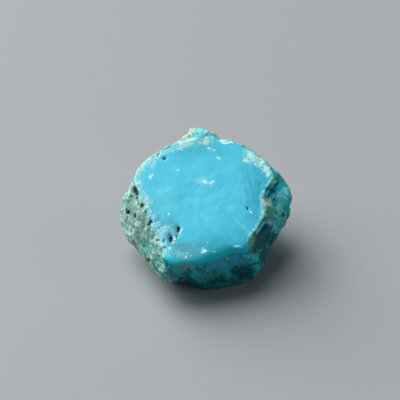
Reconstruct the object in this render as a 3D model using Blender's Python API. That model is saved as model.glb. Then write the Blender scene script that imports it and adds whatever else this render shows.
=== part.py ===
"""Raw turquoise nugget: one broken stone that rests on a flat underside.

The stone is an icosphere whose points are moved out along their own directions. Flat breaks,
each a plane at its distance from the stone's middle, bound it on every side. They are blended
so that neighbours meet in worn edges, and all but the smooth face carry lumps.
"""

from math import cos, radians, sin

import bmesh
import bpy
import numpy as np

MM = 0.001

# Driving dimensions of the finished stone
WIDTH = 30.0 * MM                # left to right, its longest extent
MIDDLE_HEIGHT = 9.5              # millimetres from the underside up to the middle, before sizing
ROUNDNESS_POWER = 20             # higher makes the edges between breaks sharper
LUMP_HEIGHT = 0.35               # millimetres that the lumps stand proud or sink in
SPHERE_SUBDIVISIONS = 5
WELD_DISTANCE = 0.15 * MM       # points of the underside's rim nearer than this become one

# Flat breaks: azimuth and elevation in degrees, distance from the middle in millimetres,
# and the share of the lumps that the break carries.
BREAKS = {
    "smooth_face": (-83, 65, 5.5, 0.15),
    "left_wall": (-152, 12, 12.2, 1.0),
    "left_corner": (-118, -8, 14.9, 1.0),
    "front_wall": (-69, -18, 12.3, 1.0),
    "right_corner": (-45, -10, 12.4, 1.0),
    "right_wall": (-26, 18, 11.2, 1.0),
    "right_rim": (8, 11, 16.3, 1.0),
    "right_shoulder": (34, 39, 13.2, 1.0),
    "back_right_rim": (66, 53, 12.8, 1.0),
    "back_rim": (95, 54, 13.7, 1.0),
    "back_left_rim": (138, 43, 12.7, 1.0),
    "left_shoulder": (163, 23, 13.9, 1.0),
    "left_rim": (180, 0, 16.6, 1.0),
    "left_low": (-164, -22, 15.4, 1.0),
    "left_front_low": (-148, -38, 13.8, 1.0),
    "front_left_low": (-114, -53, 13.4, 1.0),
    "front_low": (-71, -54, 14.6, 1.0),
    "right_front_low": (-35, -40, 15.4, 1.0),
    "right_low": (-17, -23, 13.4, 1.0),
    "back_high": (100, 20, 13.2, 1.0),
    "back_low": (80, -25, 12.6, 1.0),
    "back_left_low": (140, -20, 13.2, 1.0),
    "back_right_low": (35, -25, 13.6, 1.0),
    "back_foot": (85, -55, 12.0, 1.0),
    "left_foot": (155, -52, 12.5, 1.0),
    "right_foot": (15, -52, 12.4, 1.0),
    "underside": (0, -90, 10.2, 1.0),
}

# Round bites taken out of the breaks: azimuth, elevation, distance to the deepest point, radius.
BITES = {
    "top_notch": (66, 48, 11.9, 2.5),
    "left_hollow": (-150, 2, 12.0, 7.0),
    "right_hollow": (-28, -14, 12.4, 5.0),
}

# Round bumps: azimuth, elevation, height, and width in degrees as seen from the middle.
BUMPS = {
    "peak": (97, 47, 1.3, 14),
    "right_knob": (4, 8, 0.5, 12),
}

# Lumps: cell size in millimetres, weight and seed of each layer of noise.
LUMP_LAYERS = ((4.5, 1.0, 3), (2.2, 0.5, 4))
LUMP_RADIUS = 14.0
NOISE_TABLE = 32

# Finish
STONE_BLUE = (0.105, 0.500, 0.640, 1.0)
STONE_ROUGHNESS = 0.55


def direction(azimuth, elevation):
    """Unit vector for an azimuth from +X and an elevation above the floor, in degrees."""
    a, e = radians(azimuth), radians(elevation)
    return np.array([cos(a) * cos(e), sin(a) * cos(e), sin(e)])


def value_noise(points, cell, seed):
    """Smooth noise from -1 to 1: random values on a lattice, eased between its corners."""
    table = np.random.default_rng(seed).uniform(-1, 1, (NOISE_TABLE,) * 3)
    lattice = points / cell
    corner = np.floor(lattice).astype(int)
    along = lattice - corner
    ease = along**3 * (along * (along * 6 - 15) + 10)
    total = np.zeros(len(points))
    for step in np.ndindex(2, 2, 2):
        weight = np.prod(np.where(step, ease, 1 - ease), axis=1)
        x, y, z = ((corner + step) % NOISE_TABLE).T
        total += weight * table[x, y, z]
    return total


def nearness_of_breaks(directions):
    """One over the distance along each direction to each break's plane."""
    lumps = sum(
        weight * value_noise(directions * LUMP_RADIUS, cell, seed)
        for cell, weight, seed in LUMP_LAYERS
    )
    columns = []
    for azimuth, elevation, distance, share in BREAKS.values():
        facing = np.maximum(directions @ direction(azimuth, elevation), 0)
        columns.append(facing / (distance + share * LUMP_HEIGHT * lumps))
    return columns


def nearness_of_bites(directions):
    """One over the distance along each direction to each bite's sphere, 0 where it misses."""
    columns = []
    for azimuth, elevation, reach, radius in BITES.values():
        away = reach + radius
        along = directions @ direction(azimuth, elevation) * away
        half_chord_squared = along**2 - away**2 + radius**2
        hits = half_chord_squared > 0
        entry = along - np.sqrt(np.where(hits, half_chord_squared, 0))
        columns.append(np.where(hits, 1 / entry, 0))
    return columns


def stone_radius(directions):
    """Distance from the middle to the surface, in millimetres, along each direction."""
    nearness = np.stack(nearness_of_breaks(directions) + nearness_of_bites(directions), axis=1)
    radius = (nearness**ROUNDNESS_POWER).sum(axis=1) ** (-1 / ROUNDNESS_POWER)
    for azimuth, elevation, height, width in BUMPS.values():
        facing = np.clip(directions @ direction(azimuth, elevation), -1, 1)
        radius += height * np.exp(-2 * (np.degrees(np.arccos(facing)) / width) ** 2)
    return radius


def shape_stone(mesh):
    """Moves the sphere's points out to the stone's surface, then cuts and closes the underside."""
    mesh.verts.ensure_lookup_table()
    directions = np.array([vert.co.normalized() for vert in mesh.verts])
    points = directions * stone_radius(directions)[:, None]
    for vert, point in zip(mesh.verts, points):
        vert.co = point * MM
    cut_height = -MIDDLE_HEIGHT * MM
    bmesh.ops.bisect_plane(
        mesh,
        geom=mesh.verts[:] + mesh.edges[:] + mesh.faces[:],
        plane_co=(0, 0, cut_height),
        plane_no=(0, 0, -1),
        clear_outer=True,
    )
    rim_points = [vert for vert in mesh.verts if vert.is_boundary]
    for vert in rim_points:
        vert.co.z = cut_height
    bmesh.ops.remove_doubles(mesh, verts=rim_points, dist=WELD_DISTANCE)
    rim = [edge for edge in mesh.edges if edge.is_boundary]
    bmesh.ops.contextual_create(mesh, geom=rim)
    bmesh.ops.triangulate(mesh, faces=[face for face in mesh.faces if len(face.verts) > 3])
    bmesh.ops.recalc_face_normals(mesh, faces=mesh.faces[:])


def size_and_place(mesh):
    """Scales the stone to its width and puts the middle of its underside's box at the origin."""
    points = np.array([vert.co[:] for vert in mesh.verts])
    low, high = points.min(axis=0), points.max(axis=0)
    origin = np.array([(low[0] + high[0]) / 2, (low[1] + high[1]) / 2, low[2]])
    scale = WIDTH / (high[0] - low[0])
    for vert, point in zip(mesh.verts, (points - origin) * scale):
        vert.co = point


def stone_material():
    material = bpy.data.materials.new("turquoise")
    material.use_nodes = True
    shader = material.node_tree.nodes["Principled BSDF"]
    shader.inputs["Base Color"].default_value = STONE_BLUE
    shader.inputs["Roughness"].default_value = STONE_ROUGHNESS
    shader.inputs["Metallic"].default_value = 0.0
    return material


def make_nugget(collection):
    mesh = bmesh.new()
    bmesh.ops.create_icosphere(mesh, subdivisions=SPHERE_SUBDIVISIONS, radius=1.0)
    shape_stone(mesh)
    size_and_place(mesh)
    data = bpy.data.meshes.new("turquoise_nugget")
    mesh.to_mesh(data)
    mesh.free()
    data.shade_smooth()
    data.set_sharp_from_angle(angle=radians(35))
    data.materials.append(stone_material())
    nugget = bpy.data.objects.new("turquoise_nugget", data)
    collection.objects.link(nugget)
    return nugget


def clear_scene():
    for item in list(bpy.data.objects):
        bpy.data.objects.remove(item, do_unlink=True)


def main():
    clear_scene()
    collection = bpy.data.collections.new("raw_turquoise_nugget")
    bpy.context.scene.collection.children.link(collection)
    make_nugget(collection)


main()
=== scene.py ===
from math import cos, radians, sin

import bpy
import numpy as np
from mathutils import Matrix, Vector


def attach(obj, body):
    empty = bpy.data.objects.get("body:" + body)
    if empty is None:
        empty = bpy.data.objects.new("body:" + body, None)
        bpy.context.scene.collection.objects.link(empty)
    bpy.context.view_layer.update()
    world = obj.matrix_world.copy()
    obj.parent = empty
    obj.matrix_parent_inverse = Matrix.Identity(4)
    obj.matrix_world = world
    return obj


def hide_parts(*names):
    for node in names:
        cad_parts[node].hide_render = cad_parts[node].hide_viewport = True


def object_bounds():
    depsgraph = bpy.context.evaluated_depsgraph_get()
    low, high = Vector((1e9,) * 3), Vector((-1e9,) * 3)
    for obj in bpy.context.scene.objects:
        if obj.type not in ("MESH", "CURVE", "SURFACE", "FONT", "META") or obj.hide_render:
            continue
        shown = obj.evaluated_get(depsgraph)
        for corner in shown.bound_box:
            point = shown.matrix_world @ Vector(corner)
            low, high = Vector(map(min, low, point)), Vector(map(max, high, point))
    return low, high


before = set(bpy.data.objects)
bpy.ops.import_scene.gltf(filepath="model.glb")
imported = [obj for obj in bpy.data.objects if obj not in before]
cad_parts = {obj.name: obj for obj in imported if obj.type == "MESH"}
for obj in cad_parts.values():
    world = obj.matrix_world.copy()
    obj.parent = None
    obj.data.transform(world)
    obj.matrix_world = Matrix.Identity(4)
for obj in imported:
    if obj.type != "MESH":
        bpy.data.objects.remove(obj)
cadBox = [list(corner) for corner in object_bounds()]
mm = 0.001
print("frame loaded, box in millimetres:", [[round(c / mm, 2) for c in corner] for corner in cadBox])


# Unit vector for an azimuth from +X and an elevation above the floor:
# (cos azimuth cos elevation, sin azimuth cos elevation, sin elevation).
def aim(azimuth, elevation):
    a, e = radians(azimuth), radians(elevation)
    return np.array([cos(a) * cos(e), sin(a) * cos(e), sin(e)])


# Soft step: 0 at low, 1 at high, and 3t^2 - 2t^3 between them.
def softStep(value, low, high):
    t = np.clip((value - low) / (high - low), 0, 1)
    return t * t * (3 - 2 * t)


# Corners of a lattice around each point, with the share that each corner has at the point:
# the share along an axis is 6t^5 - 15t^4 + 10t^3 of the way to the next corner.
def latticeCorners(points, cell, size):
    lattice = points / cell
    corner = np.floor(lattice).astype(int)
    t = lattice - corner
    ease = t**3 * (t * (t * 6 - 15) + 10)
    for step in np.ndindex(2, 2, 2):
        share = np.prod(np.where(step, ease, 1 - ease), axis=1)
        yield tuple(((corner + step) % size).T), t - step, share


# Value noise from -1 to 1: random numbers on the lattice, blended by the corners' shares.
def valueNoise(points, cell, seed, size=32):
    table = np.random.default_rng(seed).uniform(-1, 1, (size,) * 3)
    return sum(share * table[corner] for corner, _, share in latticeCorners(points, cell, size))


# Gradient noise, about -0.7 to 0.7: at each corner a random slope times the way from the corner,
# blended by the corners' shares. Each further layer has half the cell and half the height.
def slopeNoise(points, cell, seed, layers=1, size=32):
    total = np.zeros(len(points))
    for layer in range(layers):
        slopes = np.random.default_rng(seed + 100 * layer).normal(0, 1, (size, size, size, 3))
        slopes /= np.linalg.norm(slopes, axis=-1, keepdims=True)
        for corner, way, share in latticeCorners(points, cell / 2**layer, size):
            total += share * (slopes[corner] * way).sum(axis=1) / 2**layer
    return total


# Cell noise: the distance, in cells, to the nearest of the random points that sit
# one in each cell of a lattice.
def cellNoise(points, cell, seed, size=32):
    table = np.random.default_rng(seed).uniform(0, 1, (size, size, size, 3))
    lattice = points / cell
    corner = np.floor(lattice).astype(int)
    nearest = np.full(len(points), 9.0)
    for step in np.ndindex(3, 3, 3):
        cellAt = corner + step - 1
        gap = cellAt + table[tuple((cellAt % size).T)] - lattice
        nearest = np.minimum(nearest, (gap * gap).sum(axis=1))
    return np.sqrt(nearest)


# The camera and the photo's frame

camera = dict(
    elevation=35.0,            # degrees above the floor, looking along +Y
    lens=100.0,
    sensor=36.0,
    pixels=400,                # the frame is square
    pixelSize=0.1715,          # millimetres that a pixel covers at the middle of the stone
    stoneMiddle=(0.0, 0.2, 9.7),    # millimetres
    middlePixel=(206.3, 209.3),     # where the middle of the stone falls in the frame
    clip=(0.005, 20),          # metres
)


# Where the camera stands and its three directions: it looks down by its elevation, and it is
# moved across and up so that the stone's middle falls on its pixel.
def cameraPlace():
    e = radians(camera["elevation"])
    right, up = np.array([1.0, 0, 0]), np.array([0, sin(e), cos(e)])
    forward = np.array([0, cos(e), -sin(e)])
    distance = camera["pixelSize"] * camera["pixels"] * camera["lens"] / camera["sensor"]
    half = camera["pixels"] / 2
    x, y = camera["middlePixel"]
    target = np.array(camera["stoneMiddle"])
    target = target + ((half - x) * right + (y - half) * up) * camera["pixelSize"]
    return target - forward * distance, right, up, forward


# The pixel on which each point falls: across and up distances over depth, times the lens.
def pixelOf(points):
    place, right, up, forward = cameraPlace()
    offset = points - place
    scale = camera["pixels"] * camera["lens"] / camera["sensor"] / (offset @ forward)
    half = camera["pixels"] / 2
    return np.stack([half + offset @ right * scale, half - offset @ up * scale], axis=1)


def makeCamera():
    place, right, up, forward = cameraPlace()
    data = bpy.data.cameras.new("photoCamera")
    data.lens = camera["lens"]
    data.sensor_width = camera["sensor"]
    data.clip_start, data.clip_end = camera["clip"]
    item = bpy.data.objects.new("photoCamera", data)
    item.location = Vector(place * mm)
    item.rotation_euler = Vector(forward).to_track_quat("-Z", "Y").to_euler()
    bpy.context.scene.collection.objects.link(item)
    bpy.context.scene.camera = item


makeCamera()
print("camera placed")


# The stone's form

stone = dict(
    breaks={                   # azimuth, elevation, millimetres from the middle, share of the lumps
        "smoothFace": (-83, 65, 5.5, 0.15),
        "leftWall": (-152, 12, 12.2, 1.0),
        "leftCorner": (-118, -8, 14.9, 1.0),
        "frontWall": (-69, -18, 12.3, 1.0),
        "rightCorner": (-45, -10, 12.4, 1.0),
        "rightWall": (-26, 18, 11.2, 1.0),
        "rightRim": (8, 11, 16.3, 1.0),
        "rightShoulder": (34, 39, 13.2, 1.0),
        "backRightRim": (66, 53, 12.8, 1.0),
        "backRim": (95, 54, 13.7, 1.0),
        "backLeftRim": (138, 43, 12.7, 1.0),
        "leftShoulder": (163, 23, 13.9, 1.0),
        "leftRim": (180, 0, 16.6, 1.0),
        "leftLow": (-164, -22, 15.4, 1.0),
        "leftFrontLow": (-148, -38, 13.8, 1.0),
        "frontLeftLow": (-114, -53, 13.4, 1.0),
        "frontLow": (-71, -54, 14.6, 1.0),
        "rightFrontLow": (-35, -40, 15.4, 1.0),
        "rightLow": (-17, -23, 13.4, 1.0),
        "backHigh": (100, 20, 13.2, 1.0),
        "backLow": (80, -25, 12.6, 1.0),
        "backLeftLow": (140, -20, 13.2, 1.0),
        "backRightLow": (35, -25, 13.6, 1.0),
        "backFoot": (85, -55, 12.0, 1.0),
        "leftFoot": (155, -52, 12.5, 1.0),
        "rightFoot": (15, -52, 12.4, 1.0),
        "underside": (0, -90, 10.2, 1.0),
    },
    bites={                    # azimuth, elevation, millimetres to the deepest point, radius
        "topNotch": (66, 48, 11.9, 2.5),
        "leftHollow": (-150, 2, 12.0, 7.0),
        "rightHollow": (-28, -14, 12.4, 5.0),
    },
    bumps={                    # azimuth, elevation, height, width in degrees
        "peak": (97, 47, 1.3, 14),
        "rightKnob": (4, 8, 0.5, 12),
    },
    bumpLoss=0.85,             # share of a bump's height that is missing on the smooth face
    bumpBlend=(-0.6, 1.2),     # leads between which that share comes in
    power=24,                  # higher makes sharper edges between breaks
    leadInside=14.0,           # millimetres of lead for a whole share of nearness, on the face
    leadOutside=6.0,           # and off it
    lumpHeight=0.35,
    lumpLayers=((4.5, 1.0, 3), (2.2, 0.5, 4)),    # cell, weight, seed
    lumpRadius=14.0,
    middleHeight=9.5,          # from the underside to the middle
    shell=((-14.5, 14.5), (-14.0, 14.0), (-9.5, 5.5)),   # box that the grid starts from
    rows=(150, 144, 92),       # faces along each side of that box
)

# Points of the stone's outline and of the smooth face's edge, in the photo's frame.
outlinePath = (
    (177.5, 141.5), (184.6, 136), (188, 131), (194.5, 128.2), (208, 128.2), (212, 132), (219, 135.7),
    (224, 139.5), (234, 140.6), (243, 144.8), (254, 150.5), (265, 158.8), (273, 165.8), (280.5, 174),
    (287.5, 181), (291.8, 187.5), (293, 202), (292, 211), (289, 220.5), (284.5, 228.5), (276.5, 240),
    (269.5, 250), (268.5, 257), (262.3, 269.5), (257.5, 276.8), (250, 281.8), (240, 284.2), (229.7, 287),
    (218, 288.3), (206, 289.8), (196.5, 287), (187, 281.8), (176, 284.2), (164, 280.4), (157.3, 275),
    (147, 261.7), (135, 248), (125, 237), (120.6, 222), (119.3, 209.5), (122.2, 197.5), (129.3, 189.6),
    (130.5, 183.4), (134, 176.5), (139.5, 167.5), (147, 158.3), (157, 152.7), (171, 145),
)
facePath = (
    (177, 142.4), (189.6, 140.5), (199.5, 137.4), (209.5, 137.4), (217, 136), (222, 143), (228, 143.6),
    (233, 141), (244.3, 147.3), (259, 157.3), (270.4, 167.2), (274, 174.7), (273, 181), (268, 189.6),
    (262.5, 197), (264.2, 206), (264, 216), (258, 228), (251.8, 235.6), (248, 241.8), (247.4, 247.4),
    (231.9, 246.8), (222, 249.3), (209.5, 254.3), (202, 258), (189.6, 260.5), (177.2, 261.7),
    (167.2, 258), (164, 250), (159.7, 236), (151, 222), (146, 207), (141, 194.6), (134.5, 184),
    (134.9, 174.5), (144.8, 162.3), (157.3, 154.8), (166, 149.5),
)


# Six grids on the sides of a box, as whole numbers along its edges, and the faces between them.
# Points shared by two sides are merged, because they have the same three numbers.
def boxGrid(rows):
    places, quads, first = [], [], 0
    for axis in range(3):
        across, along = (axis + 1) % 3, (axis + 2) % 3
        u, v = np.meshgrid(np.arange(rows[across] + 1), np.arange(rows[along] + 1), indexing="ij")
        index = np.arange(u.size).reshape(u.shape)
        corners = [index[:-1, :-1], index[1:, :-1], index[1:, 1:], index[:-1, 1:]]
        for end in (0, rows[axis]):
            side = np.zeros(u.shape + (3,), int)
            side[..., across], side[..., along], side[..., axis] = u, v, end
            turned = corners if end else corners[::-1]
            places.append(side.reshape(-1, 3))
            quads.append(np.stack(turned, axis=-1).reshape(-1, 4) + first)
            first += u.size
    places, quads = np.concatenate(places), np.concatenate(quads)
    _, kept, merged = np.unique(places, axis=0, return_index=True, return_inverse=True)
    return places[kept], merged.reshape(-1)[quads]


# Directions from the middle through the points of a box that is tilted with the smooth face,
# so that the points lie evenly on that face.
def gridDirections(places):
    low, high = np.array(stone["shell"]).T
    points = low + (high - low) * places / np.array(stone["rows"])
    azimuth, elevation = stone["breaks"]["smoothFace"][:2]
    normal = aim(azimuth, elevation)
    across = np.cross([0, 1.0, 0], normal)
    across /= np.linalg.norm(across)
    points = points @ np.array([across, np.cross(normal, across), normal])
    return points / np.linalg.norm(points, axis=1)[:, None]


# The stone's form, seen from its middle. Along a direction d, a flat break with normal n at
# distance h lies at h / (n . d), so its nearness is (n . d) / h. The radius is the p-norm of all
# the nearnesses to the power -1, which rounds the edges between neighbouring breaks. Lumps are
# added to each h, and a bite is the near side of a sphere. The lead is how far a point lies
# inside the smooth face's edge, in millimetres, from the two greatest nearnesses. A bump adds
# its height times e^(-2 (angle / width)^2), and little of that on the smooth face.
def stoneForm(directions):
    lumps = sum(
        weight * valueNoise(directions * stone["lumpRadius"], cell, seed)
        for cell, weight, seed in stone["lumpLayers"]
    )
    nearness = []
    for azimuth, elevation, distance, share in stone["breaks"].values():
        facing = np.maximum(directions @ aim(azimuth, elevation), 0)
        nearness.append(facing / (distance + share * stone["lumpHeight"] * lumps))
    for azimuth, elevation, reach, radius in stone["bites"].values():
        along = directions @ aim(azimuth, elevation) * (reach + radius)
        halfChord = along**2 - (reach + radius) ** 2 + radius**2
        entry = along - np.sqrt(np.maximum(halfChord, 0))
        nearness.append(np.where(halfChord > 0, 1 / entry, 0))
    distance = (np.array(nearness) ** stone["power"]).sum(axis=0) ** (-1 / stone["power"])
    face, others = nearness[0], np.max(nearness[1:], axis=0)
    inside = stone["leadInside"] * (1 - others / np.maximum(face, 1e-6))
    outside = -stone["leadOutside"] * (1 - face / others)
    lead = np.where(face > others, inside, outside)
    bumpShare = 1 - stone["bumpLoss"] * softStep(lead, *stone["bumpBlend"])
    for azimuth, elevation, height, width in stone["bumps"].values():
        angle = np.degrees(np.arccos(np.clip(directions @ aim(azimuth, elevation), -1, 1)))
        distance += height * np.exp(-2 * (angle / width) ** 2) * bumpShare
    return directions * distance[:, None], lead


# Scales and shifts points along each axis so that they fill the CAD model's box, in millimetres.
def fitToBox(points):
    low, high = np.array(cadBox) / mm
    share = (points - points.min(axis=0)) / np.ptp(points, axis=0)
    return low + (high - low) * share


follow = dict(                 # how the form is brought to the drawn paths
    sectors=180,               # in the ring about the middle pixel
    firstSmoothing=2,          # rounds of smoothing along the ring, for the form's first turn
    smoothing=24,              # and for every other turn
    turns=4,
    leastBorder=3,             # pixels between the face's edge and the outline, at least
    planeBlend=(-2, 0),        # leads between which points come to stay in the face's plane
)


# Radius of a closed path about the stone's middle pixel, by angle: straight between its points.
def pathRadius(path, angle):
    x, y = (np.array(path) - camera["middlePixel"]).T
    return np.interp(angle, np.degrees(np.arctan2(-y, x)), np.hypot(x, y), period=360)


# How far points must slide for the chosen ones to reach a path, by angle about the middle pixel:
# in each of a ring of sectors the path's radius less the greatest radius, smoothed along the ring
# by taking 1/4, 1/2 and 1/4 of three neighbours a number of times. Gives slide and reach.
def slideToPath(path, angle, radius, chosen, smoothing):
    sectors = follow["sectors"]
    reach = np.zeros(sectors)
    np.maximum.at(reach, (angle[chosen] / 360 * sectors).astype(int) % sectors, radius[chosen])
    middles = (np.arange(sectors) + 0.5) * 360 / sectors
    slide = pathRadius(path, middles) - reach
    for _ in range(smoothing):
        slide, reach = (0.5 * v + 0.25 * (np.roll(v, 1) + np.roll(v, -1)) for v in (slide, reach))
    return np.interp(angle, middles, slide, period=360), np.interp(angle, middles, reach, period=360)


# Slides points across the picture, away from or toward the middle pixel, so that the form's
# outline and face edge come to the drawn ones. The slide grows from nothing at the middle to
# the face edge's own at the edge, and then turns into the outline's. On the smooth face a move
# along the line of sight is added that keeps the points in the face's plane, and points that
# come out above the box go along the line of sight down to its top.
def followPhoto(points, lead, smoothing):
    place, right, up, forward = cameraPlace()
    across, down = (pixelOf(points) - camera["middlePixel"]).T
    radius, angle = np.hypot(across, down), np.degrees(np.arctan2(-down, across)) % 360
    faceSlide, faceNow = slideToPath(facePath, angle, radius, lead > 0, smoothing)
    outlineSlide, outlineNow = slideToPath(outlinePath, angle, radius, radius > 0, smoothing)
    inner = np.clip(radius / faceNow, 0, 1) ** 2
    border = np.maximum(outlineNow - faceNow, follow["leastBorder"])
    outer = np.clip((radius - faceNow) / border, 0, 1)
    slide = faceSlide * inner * (1 - outer) + outlineSlide * outer
    slide *= (points - place) @ forward * camera["sensor"] / camera["lens"] / camera["pixels"]
    turn = np.radians(angle)[:, None]
    move = (np.cos(turn) * right + np.sin(turn) * up) * slide[:, None]
    normal = aim(*stone["breaks"]["smoothFace"][:2])
    sink = (move @ normal) / (forward @ normal) * softStep(lead, *follow["planeBlend"])
    moved = points + move - sink[:, None] * forward
    above = np.maximum(moved[:, 2] - cadBox[1][2] / mm, 0)
    moved -= (above / forward[2])[:, None] * forward
    moved[:, 2] = np.where(points[:, 2] < 1e-6, 0, np.maximum(moved[:, 2], 0))
    return moved


# Follows the photo and fits the box in turns, because each undoes a little of the other. The
# first turn is as smooth as asked for, and the others even out what is left.
def settle(points, lead, firstSmoothing):
    for turn in range(follow["turns"]):
        points = followPhoto(points, lead, follow["smoothing"] if turn else firstSmoothing)
        points = fitToBox(points)
    return points


# Normal at each point: the sum of the normals of its faces, each the cross product of the
# face's diagonals, made one unit long.
def pointNormals(points, quads):
    a, b, c, d = (points[quads[:, k]] for k in range(4))
    faceNormals = np.cross(c - a, d - b)
    total = np.zeros_like(points)
    for k in range(4):
        for axis in range(3):
            total[:, axis] += np.bincount(quads[:, k], faceNormals[:, axis], len(points))
    return total / np.linalg.norm(total, axis=1)[:, None]


places, quads = boxGrid(stone["rows"])
form, lead = stoneForm(gridDirections(places))
form[:, 2] = np.maximum(form[:, 2], -stone["middleHeight"])
points = settle(fitToBox(form), lead, follow["firstSmoothing"])
normals = pointNormals(points, quads)
print("stone form:", len(points), "points,", 2 * len(quads), "triangles")


# What lies where on the stone

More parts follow.
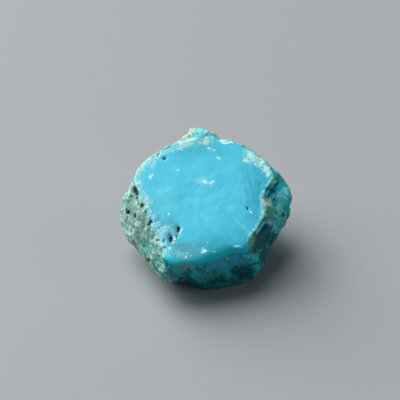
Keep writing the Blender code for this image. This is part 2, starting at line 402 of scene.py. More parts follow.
# Ellipses in the photo's frame: x, y, half width, half height, turn in degrees, strength.
spots = dict(
    fleck=(
        (209, 148, 2.6, 1.3, 0, 1), (214.5, 151, 2.2, 1.3, 0, 0.7), (219, 158, 3, 1.3, -25, 1),
        (178, 170, 3.4, 1.2, 8, 0.7), (204.5, 182.3, 4.4, 1.4, -12, 1), (211.5, 181.6, 2.8, 1.6, 25, 1),
        (209.5, 185.7, 1.4, 2.6, 0, 1), (158.3, 191.8, 1.8, 1.1, -30, 0.9), (150.3, 177.6, 1.5, 2.4, 10, 1),
        (152.6, 175, 1.4, 1.4, 30, 1), (151.2, 166.3, 1.4, 1.8, -20, 1), (154.5, 162, 2.2, 1.6, 0, 0.8),
        (159, 159.6, 1.6, 1.3, 0, 0.8), (139.8, 182.3, 1.4, 1.6, 20, 1), (139.5, 188.5, 1.4, 1.6, 0, 1),
        (168.5, 214, 1.3, 2, 15, 1), (163, 216.3, 2.4, 0.9, 0, 0.8), (248, 206, 1, 1, 0, 0.6),
        (250.8, 212.3, 2.1, 0.9, -15, 0.9), (204, 251.2, 2.8, 2.4, 0, 1.3), (186.8, 253.4, 1.2, 1, 0, 0.9),
        (185.5, 257.6, 1.6, 1.8, 20, 1), (170, 247.6, 1.6, 1.6, -15, 1), (214, 251.7, 2, 0.8, 10, 0.8),
        (191, 256, 1.2, 0.9, 0, 0.7), (206.5, 243, 1.2, 0.9, 20, 0.7), (202.5, 247.5, 1.6, 1, 0, 0.6),
        (182, 229, 1, 2.6, -14, 1), (174.4, 238.5, 1, 3.4, 12, 1), (176.4, 243, 1.4, 1, 0, 0.9),
        (168.8, 236.4, 0.9, 1.2, 20, 1), (172.9, 242.4, 0.8, 1.3, -20, 1), (180.2, 232.4, 0.8, 1, 0, 0.9),
        (166.8, 243.5, 0.9, 1.6, 10, 1), (161.4, 233.4, 1.6, 1, 30, 0.9), (158.5, 230, 1.2, 1, 0, 0.8),
        (237, 246.4, 2.4, 0.8, 0, 0.7), (163.5, 255.5, 1.3, 4.2, 0, 1), (163.8, 267.5, 0.8, 2.6, -35, 1),
        (207, 270.5, 1, 1, 0, 0.8), (227.8, 257.5, 1.1, 0.9, 0, 0.7), (258.5, 153, 1.2, 1, 0, 0.5),
    ),
    haze=(
        (201, 181, 10, 4.4, -10, 1), (211, 183, 4, 4.4, 0, 1), (167.8, 187.4, 4, 3.2, 0, 0.7),
        (151, 176.5, 3.6, 3.6, 0, 0.8), (153, 163.5, 4.4, 3.4, -35, 0.8), (185, 162, 2.6, 2.2, 0, 0.4),
        (217, 196, 4, 1.8, -45, 0.5), (238, 219, 3, 2, -50, 0.5), (243, 226, 5, 3, -55, 0.8),
        (248, 231, 4.4, 2.6, -50, 0.7), (204, 251, 4.6, 3.6, 0, 0.9), (178, 253, 8, 4.4, -20, 0.8),
        (170, 249, 5, 4, 0, 0.9), (187, 256, 4, 3.4, 0, 0.7), (229, 212, 2.4, 1.6, 0, 0.5),
        (219, 158, 4, 2.2, -25, 0.6), (211, 149.5, 5.5, 2.2, -15, 0.8), (237, 246, 6, 1.6, 0, 0.7),
        (158, 213, 7, 3, 10, 0.5), (247, 207, 2, 3, 0, 0.5), (176, 170, 4, 2, 0, 0.4),
        (222, 204, 1, 10, 38, 0.5), (237, 222, 1.3, 9, 40, 0.65), (190, 172, 16, 8, -10, 0.35),
    ),
    band=(
        (133.6, 180, 3, 7, 15, 0.9), (141, 168, 4, 9, -38, 0.9), (154, 157, 10, 4, 35, 0.8),
        (170, 150, 9, 3, 30, 0.6), (186, 144, 10, 4, 25, 0.7), (204, 141, 9, 4, 0, 0.7),
        (250, 155, 8, 7, 30, 0.6),
    ),
    powder=(
        (146.5, 203, 4.4, 5.4, 0, 1), (151, 202, 2.6, 3, 0, 0.8), (148.6, 210, 2, 5, 25, 0.8),
        (153, 217, 3, 2.6, 40, 1), (156.5, 224, 4.4, 2.6, 35, 1), (163.5, 230, 6.8, 4.4, 15, 1.1),
        (161, 236.5, 5, 3, -20, 0.8), (144, 191.5, 1.4, 3.4, 30, 0.8), (146.3, 197, 1.3, 2.6, 20, 0.9),
        (140, 184.5, 3, 4, 30, 0.9), (160, 242, 4, 5.4, 0, 0.9), (164.5, 247, 3, 5, 0, 0.9),
        (137.6, 176, 2.4, 4, 10, 0.45), (134.5, 184, 3, 3, 0, 0.8), (158.5, 251.5, 3, 3.6, 0, 0.9),
        (168.5, 228, 3.4, 3, 0, 0.6), (160.5, 259, 2.4, 4, 0, 0.6), (162, 266.5, 2.4, 4.4, -30, 0.7),
        (156, 236, 3, 3, 0, 0.6), (160, 232, 6, 3.6, 35, 0.9), (144.6, 207, 2.6, 3, 0, 0.6),
        (190, 143, 7, 2.6, 20, 0.9), (181, 147.5, 4, 3, 15, 0.9), (200, 141, 4, 2.4, 0, 0.7),
        (150, 165, 4, 3, -40, 0.6), (143, 170, 3, 4, -40, 0.6), (172, 151, 4, 2, -20, 0.5),
    ),
    chalk=(
        (206.2, 140.2, 2.8, 4.4, 0, 1.1), (247, 161.5, 4.6, 2.8, -20, 0.8), (250.5, 154.5, 3.6, 4, 0, 0.9),
        (254, 159, 5, 4.4, 30, 0.9), (260.5, 162, 5.4, 5, 40, 1), (266, 168.5, 4.6, 4, 45, 1),
        (181, 143.5, 5, 2.4, 30, 0.8), (192, 139.5, 6, 2, 15, 0.9), (262, 157.5, 4, 1.8, 38, 1),
        (136.3, 184.3, 3.4, 2.4, 20, 0.6), (131.2, 184.4, 1.6, 1.6, 0, 0.9), (249.6, 238, 1.6, 4, -35, 0.6),
        (270.4, 180.5, 1.4, 3, 15, 0.7), (263, 192.5, 1.4, 2.4, 40, 0.6), (261, 203, 1.8, 4, 10, 0.45),
        (262.6, 213, 1.7, 3.6, 0, 0.5), (259.6, 222, 1.8, 4, -30, 0.5), (254.4, 230.4, 2, 4, -40, 0.6),
        (268.6, 174.5, 2.4, 3.4, 10, 0.9), (247, 244, 1.2, 3, 0, 0.6),
    ),
    aqua=(
        (268.8, 173, 3.6, 3.4, 0, 1), (252, 156, 5.6, 6, 30, 0.8), (271, 180, 1.8, 4, 0, 0.7),
        (262.5, 195, 3, 2.6, 40, 0.8), (255.6, 226.5, 2, 3, -35, 0.8), (250.3, 235.5, 1.8, 3, -30, 0.7),
        (142, 167, 3, 5, -40, 0.6), (245.5, 150, 4, 1.6, 30, 0.6),
    ),
    crust=((186, 137, 6.4, 4.6, 42, 1), (190.5, 132, 4.6, 3.6, 30, 1), (197, 134, 3, 3, 0, 0.5)),
    peak=((203.5, 132, 7.4, 4.8, 0, 1), (212, 137, 4.4, 2.4, 30, 0.8)),
    tan=(
        (225, 139.6, 4.2, 2, 25, 1), (267, 201.5, 4, 4.8, 0, 1.2), (273, 182, 2.2, 2.2, 0, 0.8),
        (271, 222.5, 4, 2.4, 0, 0.6), (147.6, 229, 1.8, 1.8, 0, 0.9), (137, 212.5, 3.6, 2.4, 0, 0.5),
        (147.3, 226.3, 1.5, 1.5, 0, 0.6), (126, 208.5, 1.6, 3, 0, 0.4),
    ),
    olive=(
        (268.2, 211, 3.8, 6, -5, 1.1), (251.6, 241, 4, 6, -10, 1.1), (283, 223.5, 4.4, 5.4, -30, 0.7),
        (187, 265, 9, 2.6, 0, 0.8), (155.5, 154.5, 4.4, 2, -30, 0.6), (251, 248, 2.4, 3.4, 0, 0.8),
        (279, 231, 4.4, 2.6, -45, 0.7), (150.5, 158.5, 3, 1.6, -40, 0.5), (262, 159, 5, 1, 38, 0.4),
        (265, 219, 2, 3, 0, 0.8), (273.5, 187, 3, 3, 0, 0.6),
    ),
    moss=((130, 203.5, 6, 7.4, 15, 1), (123.5, 203, 2.4, 6, 0, 0.6), (140, 236, 8, 4, 30, 0.4)),
    jade=(
        (148, 250, 8, 5, 35, 0.9), (157, 264, 6, 10, -25, 1), (166, 276, 7, 5, 0, 1),
        (142, 243, 6, 4, 35, 0.6), (133.6, 180, 2.6, 7, 15, 0.9), (175, 268, 7, 7, 0, 0.8),
        (183, 279, 8, 4, 0, 0.8), (147.5, 238, 2.6, 4.4, -8, 1), (144, 200, 2.6, 5, 20, 0.7),
        (134, 217.5, 3, 2, 0, 0.5),
    ),
    pale=(
        (137, 221, 8, 5, 0, 0.9), (131.5, 227, 3.4, 8, 0, 1), (145, 222, 4, 5, 0, 0.7),
        (124, 198, 2.6, 2.6, 0, 0.8), (143, 231, 5, 3, 20, 0.6), (128, 236, 4, 6, 30, 0.5),
        (151, 249, 4, 2.4, 35, 0.7), (135, 205, 2, 2, 0, 0.4), (178, 281.5, 7, 1.6, 0, 0.6),
        (141, 236, 6, 3.4, 30, 0.7),
    ),
    lilac=(
        (176, 233.5, 4.6, 5.6, 0, 1), (172.5, 243, 4.4, 3.4, 0, 0.9), (163, 233, 6, 4, 20, 0.5),
        (178, 226.5, 3.4, 3, 0, 0.6), (185, 270, 4.4, 4, 0, 0.5),
    ),
    dark=(
        (170.8, 238.3, 2.2, 4.2, 6, 1.3), (169.5, 234.8, 1.8, 1.6, 0, 0.9), (178.4, 229.6, 2, 4, 8, 1.3),
        (134.8, 190.6, 3.2, 3, 0, 1), (137, 193.8, 2.2, 2.2, 0, 0.8), (130.6, 196.3, 2.6, 1.9, 0, 1),
        (142.5, 205.3, 2, 2.6, 0, 1), (128.2, 212.2, 2.4, 2.2, 0, 1.1), (126, 209, 1.2, 2.4, 0, 0.7),
        (135.3, 215.6, 1.9, 2.1, 0, 1), (150.7, 221.8, 1.7, 3, 10, 1.1), (148, 224.6, 1.4, 1.6, 0, 0.8),
        (164.3, 158, 1.5, 1.5, 0, 1.1), (157.3, 155, 1, 1, 0, 0.6), (153.4, 156.8, 0.8, 0.8, 0, 0.6),
        (247.2, 208.4, 0.8, 1.2, 20, 1.1), (249.3, 163.4, 0.8, 0.8, 0, 0.6),
        (163.4, 241.5, 1.2, 1.8, 0, 0.9), (165, 248, 1, 1.5, 0, 0.8), (158, 240, 2, 1.4, 0, 0.7),
        (148.5, 260.5, 3, 2.2, 35, 0.9), (176.4, 236, 1.2, 1.2, 0, 0.9), (127.5, 217.6, 1.4, 2, 0, 0.7),
        (145.5, 212, 1.4, 1.8, 0, 0.6), (260.3, 160.8, 1.2, 1.2, 0, 0.5), (260.4, 183, 0.7, 1.1, 0, 0.7),
    ),
    teal=(
        (142.3, 192.5, 2, 4, 15, 0.7), (170, 257, 4, 4, 0, 0.6), (247, 256, 7, 3, 0, 0.8),
        (281.5, 185.5, 3.4, 3, 30, 0.8), (285.5, 199, 4, 2.4, 0, 0.9), (180.3, 237, 1.5, 1.2, 0, 0.8),
        (288, 208, 2.6, 5, 0, 0.8),
    ),
    crystal=(
        (285, 192.5, 4.4, 5.4, -15, 1.1), (279.5, 207, 3.6, 5.6, 0, 1.1), (286.3, 212, 2, 2.2, 0, 0.4),
        (276.5, 216, 3.4, 2.8, 0, 0.8), (276, 197, 3.4, 3, 0, 0.6), (283, 203, 2.6, 1.6, 0, 0.6),
        (281, 196, 4, 4, 0, 0.9), (280, 212, 3, 3.4, 0, 0.9), (274.6, 204, 2, 3, 0, 0.6),
        (251, 258, 5, 2, 15, 0.5), (268, 246.5, 1.4, 1.4, 0, 0.7),
    ),
    # Painted shade on the facets, notches and crevices that lie in shadow at the right, the lower right and
    # along the front's foot.
    deep=(
        (290.5, 197, 1.8, 6, 0, 0.5), (273, 190, 2.8, 4, 20, 1), (277, 178.5, 2.6, 2.4, 0, 0.6),
        (269, 196, 2.6, 1.8, 0, 1), (282.5, 215, 3, 2.4, 0, 0.5), (264, 231, 9, 4.4, 30, 1.3),
        (264, 239, 11, 6, 20, 1.4), (259, 246, 8, 4, 0, 1.2), (264.8, 221, 3, 5, -20, 1.2),
        (262, 227, 3.4, 6, -30, 1.3), (257.6, 233.6, 3, 6, -45, 1.3), (254.6, 238, 2.4, 4, -40, 1),
        (268, 191, 2.6, 5, 30, 1), (264.6, 196.5, 1.8, 2.6, 40, 0.8), (255, 250, 5, 4, 0, 0.7),
        (243, 272, 12, 7, 0, 1), (252, 264.5, 8, 1.4, 12, 0.6), (205, 272, 9, 6, 0, 0.5),
        (263, 260, 5, 11, 0, 1), (264.4, 252, 4, 5, 0, 1.1),
        (268, 226, 3, 3, 0, 0.9), (155, 233, 4, 3, 0, 0.5), (138, 197, 4, 4, 0, 0.6),
        (271, 243, 3.4, 7, -35, 1.1), (276, 236, 3, 5, -40, 0.9), (269, 251, 2.4, 5, 0, 0.9),
        (222, 280, 18, 4, 0, 0.5), (187, 272, 7, 5, 0, 0.7),
    ),
    # Painted shade on the smooth face: darker along the top, the right, the bottom and the lower left, partly
    # the stone's own tone.
    shade=(
        (197, 148, 36, 10, 3, 0.55), (264, 200, 26, 62, 0, 0.8), (215, 256, 48, 24, 8, 1),
        (240, 235, 28, 26, -40, 0.5), (157, 222, 10, 26, 25, 0.7),
    ),
    grey=((196, 147, 28, 9, 3, 0.35), (182, 250, 18, 11, 0, 1), (172, 226, 9, 10, 0, 0.8)),
    hatch=((215, 232, 34, 18, 20, 1), (180, 215, 14, 14, 0, 0.5)),
    streak=((250, 182, 16, 34, 0, 1), (228, 170, 12, 20, 0, 0.6), (200, 152, 20, 8, 0, 0.3)),
    # Painted light on the smooth face: lighter at the left and the middle, with a few pale streaks of the
    # stone's own.
    glow=(
        (160, 198, 22, 24, 0, 0.8), (205, 205, 34, 32, 0, 0.5), (187, 176, 28, 16, 0, 0.4),
        (228, 178, 7, 20, -5, 0.5), (240, 182, 5, 22, -8, 0.4),
    ),
)

# Paths in the photo's frame: x, y and half width at each of their points.
strokes = dict(
    chalk=(
        ((215.5, 135.6, 1), (219.5, 140.6, 1.4), (226, 143.2, 1.4), (233.5, 141.2, 1)),
    ),
    fleck=(
        ((217, 136.6, 0.7), (220.5, 141, 0.8), (227, 143.2, 0.8)), ((177.5, 141.8, 1), (184, 141.4, 1)),
        ((161.3, 263.5, 0.6), (165.4, 269, 0.7)), ((247.2, 239, 0.7), (246.8, 245, 0.7)),
    ),
    pale=(
        ((150, 262, 1.2), (155, 272, 1.3), (162, 280, 1)), ((156, 256, 1.2), (160, 266, 1.3), (166, 276, 1)),
        ((240, 264, 0.8), (248, 262.5, 0.9), (255, 258.5, 0.9)), ((246, 267, 0.7), (256, 263.5, 0.8)),
    ),
    # Painted shadow: dark lines beside the pale fibrous ridges at the lower left.
    strand=(
        ((163.5, 257, 1.3), (167, 267, 1.8), (172, 279, 1.6)), ((144, 254, 1.2), (149, 262, 1.4)),
        ((152, 263, 1), (158, 271, 1.2), (163, 276, 1)), ((157, 252, 1), (160, 260, 1.1), (163, 269, 1)),
        ((154, 247, 1.2), (150, 242, 1)), ((167, 273, 1.6), (176, 277, 2), (186, 279, 1.4)),
    ),
    umber=(((244, 147, 0.7), (256, 153.6, 0.8), (268, 162.4, 0.9), (279, 173.5, 0.9), (286, 181.5, 0.8)),),
    # Crevices: grooves that the relief cuts, with painted shade in them.
    crevice=(
        ((276.5, 184, 1.6), (272, 190, 2), (268.5, 195.5, 1.8)),
        ((267, 213, 1.2), (267.5, 221, 1.6), (262, 229, 2), (257.5, 234, 1.6)),
    ),
)


# Ellipses as one field: each gives its strength times e^(-s^2), where s is the distance from its
# middle over its half size, and the field is the greatest of them.
def spotField(pixels, name):
    field = np.zeros(len(pixels))
    for x, y, halfWidth, halfHeight, turn, strength in spots.get(name, ()):
        across, down = (pixels - (x, y)).T
        c, s = cos(radians(turn)), sin(radians(turn))
        size = np.hypot((across * c - down * s) / halfWidth, (across * s + down * c) / halfHeight)
        field = np.maximum(field, strength * np.exp(-size * size))
    return field


# Paths as one field: e^(-s^2), where s is the distance from the nearest stretch over its half width.
def strokeField(pixels, name):
    field = np.zeros(len(pixels))
    for path in strokes.get(name, ()):
        for (x0, y0, w0), (x1, y1, w1) in zip(path, path[1:]):
            run = np.array([x1 - x0, y1 - y0])
            t = np.clip((pixels - (x0, y0)) @ run / (run @ run), 0, 1)
            gap = np.linalg.norm(pixels - (x0, y0) - t[:, None] * run, axis=1) / (w0 + (w1 - w0) * t)
            field = np.maximum(field, np.exp(-gap * gap))
    return field


# A zone of the side walls: 1 between two azimuths and 0 outside them, over a soft width.
def sector(azimuth, start, end, soft=10):
    middle, half = (start + end) / 2, (end - start) / 2
    away = np.abs((azimuth - middle + 180) % 360 - 180)
    return 1 - softStep(away, half - soft / 2, half + soft / 2)


zones = dict(
    rind=(160, 247),           # azimuths of the zones' borders in degrees
    front=(247, 316),
    right=(316, 392),
    lip=(243, 313),
    rim=(306, 384),
    raggedEdge=(140, 247),     # where the smooth face's edge is ragged
    dustyEdge=(150, 250),      # and where it is dusty
    wander=14,                 # degrees by which the borders wander
    edgeWander=0.8,            # millimetres by which the ragged edge wanders
    spotWander=1.6,            # pixels by which the drawn fields wander
    lipWidth=(0.8, 1.75),      # millimetres, at its left and right ends
    lipWidens=(252, 288),      # azimuths between which the lip's width changes
    rimWidth=0.5,
)


# The fields that the relief and the finish use, each from 0 to 1 (hollow from about -1 to 1).
# Zones come from the azimuth and from the lead, and the drawn fields from the photo's frame, at
# the places where the points are shown.
def stoneFields(points, shown, normals, lead):
    forward = cameraPlace()[3]
    wander = np.stack([slopeNoise(points, 1.1, seed, 3) for seed in (11, 12)], axis=1)
    pixels = pixelOf(shown) + zones["spotWander"] * wander
    seen = softStep(-(normals @ forward), 0.0, 0.12)
    azimuth = np.degrees(np.arctan2(points[:, 1] - camera["stoneMiddle"][1], points[:, 0])) % 360
    azimuth += zones["wander"] * slopeNoise(points, 3.0, 13, 2)
    wander = zones["edgeWander"] * slopeNoise(points, 1.8, 15, 3)
    edge = lead + wander * sector(azimuth, *zones["raggedEdge"])
    wall = softStep(-edge, -0.2, 0.3)
    fields = {name: wall * sector(azimuth, *zones[name]) for name in ("rind", "front", "right")}
    fields["back"] = wall * np.clip(1 - sum(fields.values()) / np.maximum(wall, 1e-3), 0, 1)
    for name in sorted(set(spots) | set(strokes)):
        fields[name] = seen * np.maximum(spotField(pixels, name), strokeField(pixels, name))
    narrow, wide = zones["lipWidth"]
    lipWidth = narrow + (wide - narrow) * softStep(azimuth, *zones["lipWidens"])
    lipWidth += 0.35 * slopeNoise(points, 1.6, 16)
    lip = softStep(-lead, -0.3, 0.35) * (1 - softStep(-lead, lipWidth - 0.2, lipWidth + 0.15))
    fields["lip"] = lip * sector(azimuth, *zones["lip"], soft=6)
    fields["under"] = fields["front"] * softStep(-lead, lipWidth - 0.1, lipWidth + 0.4)
    dusty = np.exp(-(((edge - 0.3) / 0.9) ** 2)) * sector(azimuth, *zones["dustyEdge"], soft=14)
    fields["powder"] = np.maximum(fields["powder"], 0.5 * dusty)
    rimWidth = zones["rimWidth"] * (1 + 1.3 * slopeNoise(points, 1.8, 14, 2))
    rimOffset = lead - 0.15 - 0.5 * slopeNoise(points, 1.3, 17, 2)
    fields["rim"] = np.exp(-((rimOffset / rimWidth) ** 2)) * sector(azimuth, *zones["rim"], soft=8)
    # The hollow field: pores and low places among the lumps, with the drawn pits and crevices. The relief
    # sinks it, and the finish paints shade in it.
    lumps = (0.45 * slopeNoise(points, 3.0, 21, 2) + 0.8 * slopeNoise(points, 1.5, 22, 2)
             + 0.45 * slopeNoise(points, 0.7, 23))
    pores = 1 - softStep(cellNoise(points, 1.2, 24), 0.12, 0.45)
    fields["hollow"] = 0.7 * pores - 1.6 * lumps + 0.8 * fields["dark"] + 0.6 * fields["crevice"]
    return fields


relief = dict(                 # millimetres
    lumps=dict(rind=0.35, right=0.75, front=0.30, back=0.55),
    hollows=dict(rind=0.24, right=0.40, front=0.30, back=0.34),
    underLip=0.40,             # how far the front wall stands back below the lip
    crevice=0.7,
    wallRim=0.15,
    faceRim=0.12,
    faceSwell=0.10,
    facePits=0.4,
    faceChalk=0.06,
    faceHollows=0.02,
    powderHollows=0.05,        # more hollows in the face's powder
    foot=(0.05, 0.8),          # heights above the underside between which the relief comes in
)


# Height that the relief adds along the normal. On each wall: lumps of gradient noise less the
# hollows, on the front less the step below the lip, and on the right the rim's ridge less the
# crevice. On the smooth face: a long swell, the rim and the chalk, less the pits and the hollows.
def stoneRelief(points, fields):
    lumps, hollow = slopeNoise(points, 3.4, 25, 2), fields["hollow"]
    face = relief["faceSwell"] * slopeNoise(points, 5.0, 26) + relief["faceRim"] * fields["rim"]
    face += relief["faceChalk"] * fields["chalk"] - relief["facePits"] * fields["dark"]
    face -= (relief["faceHollows"] + relief["powderHollows"] * fields["powder"]) * hollow
    walls = {name: relief["lumps"][name] * lumps - relief["hollows"][name] * hollow
             for name in relief["lumps"]}
    walls["front"] = (walls["front"] - relief["underLip"]) * fields["under"]
    walls["right"] += relief["wallRim"] * fields["rim"] - relief["crevice"] * fields["crevice"]
    wall = sum(fields[name] for name in walls)
    return face * (1 - wall) + sum(fields[name] * height for name, height in walls.items())


# The relief moves the outline, and following the photo moves it back, so the drawn fields are
# worked out a second time where the points have come to lie.
smooth = points
for turn in range(2):
    fields = stoneFields(smooth, points, normals, lead)
    height = stoneRelief(smooth, fields) * softStep(smooth[:, 2], *relief["foot"])
    points = smooth + normals * height[:, None]
    points[:, 2] = np.maximum(points[:, 2], 0)
    points = settle(points, lead, follow["smoothing"])
del fields["under"]            # the finish has no use for it
print("stone relief done,", len(fields), "fields for the finish")


def putInMesh(name, points, quads, fields):
    mesh = bpy.data.meshes.new(name)
    mesh.from_pydata((points * mm).tolist(), [], quads.tolist())
    mesh.shade_smooth()
    for field, values in fields.items():
        attribute = mesh.attributes.new(field, "FLOAT", "POINT")
        attribute.data.foreach_set("value", values.astype(np.float32))
    item = bpy.data.objects.new(name, mesh)
    bpy.context.scene.collection.objects.link(item)
    return item


# The stone's finish

# A socket of a node tree with arithmetic on it, and one method that adds any node.
class Wire:
    def __init__(self, tree, socket=None):
        self.tree, self.socket = tree, socket

    # A node of a kind, with its settings set first, then its sockets' values or wires.
    def node(self, kind, settings, sockets, output=0):
        made = self.tree.nodes.new("ShaderNode" + kind)
        for name, value in settings.items():
            setattr(made, name, value)
        for name, value in sockets.items():
            if isinstance(value, Wire):
                self.tree.links.new(value.socket, made.inputs[name])
            else:
                made.inputs[name].default_value = value
        return Wire(self.tree, made.outputs[output])

    def maths(self, operation, *values):
        return self.node("Math", {"operation": operation}, dict(enumerate(values)))

    def __add__(self, other):
        return self.maths("ADD", self, other)

    def __sub__(self, other):
        return self.maths("SUBTRACT", self, other)

    def __rsub__(self, other):
        return self.maths("SUBTRACT", other, self)

    def __mul__(self, other):
        return self.maths("MULTIPLY", self, other)

    __radd__ = __add__
    __rmul__ = __mul__

    # Soft step between two values.
    def step(self, low, high):
        return self.node("MapRange", {"interpolation_type": "SMOOTHSTEP"}, {0: self, 1: low, 2: high})

    # One colour with another over it where the mask is 1. Each is a wire or four numbers.
    def over(self, below, above, mask):
        return self.node("Mix", {"data_type": "RGBA"}, {0: mask, 6: below, 7: above}, 2)

    def field(self, name):
        return self.node("Attribute", {"attribute_name": name}, {}, "Fac")


def colour(red, green, blue):
    return (red, green, blue, 1)


finish = dict(
    skyBlue=colour(0.066, 0.600, 0.817),
    skyDeep=colour(0.028, 0.387, 0.539),
    skyPale=colour(0.122, 0.678, 0.835),
    skyGrey=colour(0.096, 0.322, 0.409),
    white=colour(0.510, 0.980, 0.990),
    haze=colour(0.217, 0.730, 0.835),
    dust=colour(0.300, 0.600, 0.690),
    chalk=colour(0.510, 0.880, 0.890),
    cream=colour(0.680, 0.810, 0.750),
    aqua=colour(0.185, 0.715, 0.750),
    mint=colour(0.250, 0.626, 0.565),
    crust=colour(0.480, 0.661, 0.550),
    peak=colour(0.190, 0.775, 0.810),
    lilac=colour(0.200, 0.400, 0.522),
    rindGreen=colour(0.230, 0.470, 0.402),
    rindPale=colour(0.500, 0.840, 0.740),
    rindDark=colour(0.060, 0.160, 0.132),
    moss=colour(0.150, 0.325, 0.224),
    jade=colour(0.054, 0.420, 0.335),
    teal=colour(0.017, 0.700, 0.850),
    tealShade=colour(0.014, 0.350, 0.370),
    tealDeep=colour(0.005, 0.096, 0.102),
    tealGreen=colour(0.066, 0.560, 0.460),
    crystal=colour(0.270, 0.900, 0.940),
    lip=colour(0.001, 0.590, 0.740),
    frontBlue=colour(0.013, 0.425, 0.600),
    frontGreen=colour(0.013, 0.345, 0.365),
    frontGrey=colour(0.175, 0.480, 0.550),
    olive=colour(0.165, 0.480, 0.330),
    tan=colour(0.560, 0.650, 0.600),
    brown=colour(0.055, 0.030, 0.020),
    black=colour(0.008, 0.010, 0.010),
)

gloss = dict(
    roughness=0.48,
    wallRoughness=0.25,        # added off the smooth face
    lipGloss=0.2,              # taken from the roughness on the lip
    speckleRoughness=0.06,
    specular=0.3,
    bump=0.15,
    wallBump=0.5,              # added off the smooth face
    bumpHeight=0.04,           # millimetres
)


def turquoiseMaterial():
    material = bpy.data.materials.new("turquoise")
    material.use_nodes = True
    tree = material.node_tree
    shader = tree.nodes["Principled BSDF"]
    w = Wire(tree)
    place = w.node("VectorMath", {"operation": "SCALE"},
                   {0: w.node("TexCoord", {}, {}, "Object"), "Scale": 1 / mm}, 0)
    field = {name: w.field(name) for name in fields}

    # Noise with a cell in millimetres, from about -1 to 1 and mostly within half of that.
    def noise(cell, detail=3, roughness=0.55, at=place):
        raw = w.node("TexNoise", {}, {"Vector": at, "Scale": 1 / cell, "Detail": detail,
                                      "Roughness": roughness}, "Fac")
        return w.node("MapRange", {"clamp": False}, {0: raw, 1: 0.25, 2: 0.75, 3: -1, 4: 1})

    # Noise drawn out into lines: turned about the vertical, then squeezed across and stretched along.
    def lines(across, along, turn):
        turned = w.node("VectorRotate", {"rotation_type": "Z_AXIS"},
                        {"Vector": place, "Angle": radians(turn)})
        scale = (1 / across, 1 / along, 1 / along)
        return noise(1, 2, 0.5, w.node("VectorMath", {"operation": "MULTIPLY"}, {0: turned, 1: scale}))

    grain, speckle, patch, blotch = noise(0.22, 2), noise(0.45, 3), noise(1.2, 4), noise(3.2, 3)
    crumbs = noise(0.8, 3)
    streaks, slants = lines(0.5, 7, -9), lines(0.42, 4, -44)

    # A drawn field with its border broken up by noise.
    def ragged(name, by=speckle, amount=0.5, low=0.22, high=0.7):
        return (field[name] + by * amount).step(low, high) * field[name].step(0.05, 0.3)

    # The shade field darkens the smooth face: painted shade, partly the stone's own uneven tone. The streaks
    # and slant lines are the stone's own grain.
    shade = field["shade"] * 0.95 + patch * 0.10
    shade = shade + streaks * field["streak"] * 0.26 + slants * field["hatch"] * 0.2
    face = w.over(finish["skyBlue"], finish["skyDeep"], shade.step(0.0, 1.0))
    # The glow field lightens the smooth face at the left and the middle: painted light, with a few pale
    # streaks of the stone's own.
    face = w.over(face, finish["skyPale"], (field["glow"] + noise(1.9, 4) * 0.5).step(0.1, 1.0) * 0.6)
    face = w.over(face, finish["skyGrey"], (field["grey"] + patch * 0.4 + speckle * 0.2).step(0.2, 1.0) * 0.6)
    mottle = patch * 0.8 + speckle
    for name, tint, low, high, share in (
        ("haze", "haze", 0.2, 1.0, 0.65),
        ("band", "mint", 0.0, 0.7, 0.95),
        ("powder", "dust", 0.2, 1.0, 0.55),
    ):
        face = w.over(face, finish[tint], ragged(name, mottle, 0.3, low, high) * share)
    face = w.over(face, finish["white"], (speckle * 0.6 + grain * 0.6).step(0.9, 1.2) * 0.2)

    # Rind: paler on the rises and greener in the hollows, with random patches: painted light and painted
    # shade that follow the hollow field.
    height = patch * 0.6 + speckle * 0.3 - field["hollow"] * 0.5
    rind = w.over(finish["rindGreen"], finish["rindPale"], height.step(-0.4, 0.6))
    rind = w.over(rind, finish["moss"], ragged("moss", patch, 0.4) * 0.8)
    rind = w.over(rind, finish["tealGreen"], noise(2.4, 3).step(0.3, 0.8) * 0.45)
    rind = w.over(rind, finish["rindPale"], ragged("pale", patch, 0.5) * 0.8)
    rind = w.over(rind, finish["jade"], ragged("jade", patch, 0.5) * 0.85)
    # Dark rind patches, partly random and partly painted shade in the hollows.
    shadows = noise(1.5, 4, 0.65) + field["hollow"] * 0.35
    rind = w.over(rind, finish["rindDark"], shadows.step(0.1, 0.9) * 0.75)
    rind = w.over(rind, finish["chalk"], (speckle * 0.7 + grain * 0.7 + patch * 0.3).step(0.4, 1.0) * 0.5)
    rind = w.over(rind, finish["rindDark"], (speckle * -0.6 + grain * -0.8).step(0.15, 0.8) * 0.7)
    rind = w.over(rind, finish["black"], (crumbs + grain * 0.4).step(0.65, 1.0) * 0.6)

    # Painted shade in the hollows of the right and front walls, with random blotches.
    hollows = field["hollow"] * 0.5 + blotch * 0.7 + patch * 0.5
    right = w.over(finish["teal"], finish["tealGreen"], (blotch + patch * 0.3).step(-0.3, 0.5))
    right = w.over(right, finish["tealShade"], hollows.step(0.0, 0.7) * 0.85)
    # Pale crystals of the stone's own, more on the rises: partly painted light on the raised parts.
    crystals = patch * 0.6 + speckle * 0.4 + grain * 0.3 - field["hollow"] * 0.3
    right = w.over(right, finish["crystal"], crystals.step(0.1, 0.7) * 0.7)
    right = w.over(right, finish["olive"], noise(1.7, 4).step(0.5, 0.9) * 0.4)
    right = w.over(right, finish["tealDeep"], (speckle * -0.7 + grain * -0.5).step(0.2, 0.9) * 0.5)

    front = w.over(finish["frontBlue"], finish["frontGreen"], (blotch + patch * 0.3).step(-0.45, 0.3))
    front = w.over(front, finish["frontGrey"], (patch * 0.7 + speckle * 0.3).step(0.0, 0.8) * 0.6)
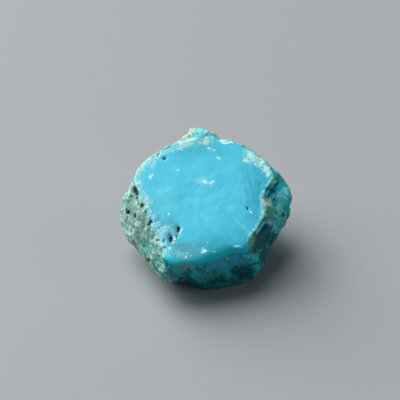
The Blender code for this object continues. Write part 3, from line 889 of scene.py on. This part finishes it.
    # Painted shade in the front wall's hollows.
    front = w.over(front, finish["tealDeep"], hollows.step(0.1, 0.9) * 0.8)
    front = w.over(front, finish["jade"], ragged("jade", patch, 0.5) * 0.7)
    front = w.over(front, finish["teal"], noise(1.6, 4).step(0.25, 0.8) * 0.3)
    front = w.over(front, finish["frontGrey"], (speckle * 0.7 + grain * 0.7).step(0.2, 0.9) * 0.5)
    front = w.over(front, finish["tealDeep"], (speckle * -0.6 + grain * -0.7).step(0.2, 0.9) * 0.5)
    front = w.over(front, finish["crystal"], (grain * 0.9 + crumbs * 0.5).step(0.45, 0.9) * 0.6)

    back = w.over(rind, right, (blotch * 0.7 + patch * 0.4).step(-0.1, 0.25))
    back = w.over(back, finish["olive"], noise(1.6, 4).step(0.45, 0.8) * 0.6)
    back = w.over(back, face, noise(2.8, 4).step(0.35, 0.6) * 0.8)

    stain = w.over(face, rind, field["rind"])
    for layer, name in ((right, "right"), (front, "front"), (back, "back")):
        stain = w.over(stain, layer, field[name])
    stain = w.over(stain, finish["lip"], (field["lip"] + patch * 0.15).step(0.1, 0.8))
    rim = (field["rim"] + speckle * 0.5 + patch * 0.4).step(0.3, 0.95) * field["rim"].step(0.05, 0.4)
    stain = w.over(stain, w.over(finish["mint"], finish["aqua"], (patch + speckle).step(-0.4, 0.4)), rim)
    # Drawn marks over the finish. The three drawn in deep teal are painted shade: dark spots and lines where
    # the stone lies in shadow, and its crevices. The others are the stone's own colours.
    for name, tint, by, amount, share in (
        ("strand", "tealDeep", speckle, 0.5, 0.6), ("teal", "teal", patch, 0.4, 0.85),
        ("crystal", "crystal", speckle, 0.5, 0.8), ("deep", "tealDeep", crumbs, 0.4, 0.85),
        ("crevice", "tealDeep", speckle, 0.4, 0.8), ("umber", "olive", speckle, 0.5, 0.6),
        ("olive", "olive", speckle, 0.6, 0.8), ("lilac", "lilac", speckle, 0.6, 0.5),
        ("peak", "peak", speckle, 0.4, 0.9), ("crust", "crust", speckle, 0.7, 0.9),
        ("aqua", "aqua", speckle, 0.6, 0.85),
    ):
        stain = w.over(stain, finish[tint], ragged(name, by, amount) * share)
    stain = w.over(stain, finish["tan"], ragged("tan", speckle, 0.4, 0.1, 0.9) * 0.85)
    dusty = (field["powder"] + speckle * 0.4 + grain * 0.9).step(0.25, 1.0) * field["powder"].step(0.0, 0.4)
    stain = w.over(stain, w.over(finish["dust"], finish["white"], grain.step(-0.1, 0.8)), dusty * 0.95)
    chalky = w.over(finish["chalk"], finish["cream"], crumbs.step(0.0, 0.6))
    chalky = w.over(chalky, finish["skyGrey"], (speckle * 0.6 + grain).step(0.4, 1.0) * 0.7)
    chalkMask = (field["chalk"] + speckle * 0.5 + grain * 0.6).step(0.25, 0.8)
    stain = w.over(stain, chalky, chalkMask * field["chalk"].step(0.05, 0.3))
    stain = w.over(stain, finish["brown"], ragged("dark", speckle, 0.6, 0.35, 0.7) * 0.9)
    stain = w.over(stain, finish["black"], ragged("dark", crumbs, 0.7, 0.4, 0.8) * 0.9)
    flecks = (field["fleck"] + speckle * 0.4 + grain * 0.4).step(0.35, 0.9) * field["fleck"].step(0.05, 0.4)
    stain = w.over(stain, finish["white"], flecks)

    wall = field["rind"] + field["front"] + field["right"] + field["back"]
    rough = gloss["roughness"] + wall * gloss["wallRoughness"] - field["lip"] * gloss["lipGloss"]
    rough = rough + speckle * gloss["speckleRoughness"]
    bumped = w.node("Bump", {}, {"Strength": gloss["bump"] + wall * gloss["wallBump"],
                                 "Distance": gloss["bumpHeight"] * mm,
                                 "Height": grain * 0.35 + speckle * 0.65})
    for wire, name in ((stain, "Base Color"), (rough, "Roughness"), (bumped, "Normal")):
        tree.links.new(wire.socket, shader.inputs[name])
    shader.inputs["Specular IOR Level"].default_value = gloss["specular"]
    return material


nugget = putInMesh("turquoise_surface", points, quads, fields)
nugget.data.materials.append(turquoiseMaterial())
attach(nugget, "root")
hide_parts("turquoise_nugget")
print("stone finished")


# The floor, the lights and the world

stage = dict(
    floorSize=6.0,             # metres
    floorColour=(0.300, 0.316, 0.335),
    floorRoughness=0.7,
    lights=dict(               # azimuth, elevation, distance and size in metres, watts, colour
        key=(146, 66, 2.5, 2.1, 53.5, (1.0, 0.99, 0.97)),
        low=(130, 30, 2.4, 1.95, 40.0, (1.0, 1.0, 1.0)),
        left=(180, 42, 2.4, 1.5, 17.8, (1.0, 1.0, 1.0)),
        front=(275, 42, 0.4, 0.2, 0.05, (0.95, 0.98, 1.0)),
        right=(352, 38, 0.8, 0.4, 0.6, (0.9, 0.96, 1.0)),
    ),
    worldColour=(0.85, 0.93, 1.0),
    worldStrength=0.034,
)


def areaLight(name, azimuth, elevation, distance, size, power, tint):
    data = bpy.data.lights.new(name + "Light", "AREA")
    data.shape = "DISK"
    data.size = size
    data.energy = power
    data.color = tint
    item = bpy.data.objects.new(name + "Light", data)
    toward = Vector(aim(azimuth, elevation))
    item.location = toward * distance
    item.rotation_euler = toward.to_track_quat("Z", "Y").to_euler()
    bpy.context.scene.collection.objects.link(item)


def makeStage():
    half = stage["floorSize"] / 2
    corners = [(-half, -half, 0), (half, -half, 0), (half, half, 0), (-half, half, 0)]
    mesh = bpy.data.meshes.new("floor")
    mesh.from_pydata(corners, [], [(0, 1, 2, 3)])
    floor = bpy.data.objects.new("floor", mesh)
    bpy.context.scene.collection.objects.link(floor)
    paper = bpy.data.materials.new("greyPaper")
    paper.use_nodes = True
    shader = paper.node_tree.nodes["Principled BSDF"]
    shader.inputs["Base Color"].default_value = (*stage["floorColour"], 1)
    shader.inputs["Roughness"].default_value = stage["floorRoughness"]
    mesh.materials.append(paper)
    for name, values in stage["lights"].items():
        areaLight(name, *values)
    world = bpy.data.worlds.new("studio")
    world.use_nodes = True
    backdrop = world.node_tree.nodes["Background"]
    backdrop.inputs["Color"].default_value = (*stage["worldColour"], 1)
    backdrop.inputs["Strength"].default_value = stage["worldStrength"]
    bpy.context.scene.world = world
    bpy.context.scene.view_settings.view_transform = "Standard"


makeStage()
print("stage and lights ready")
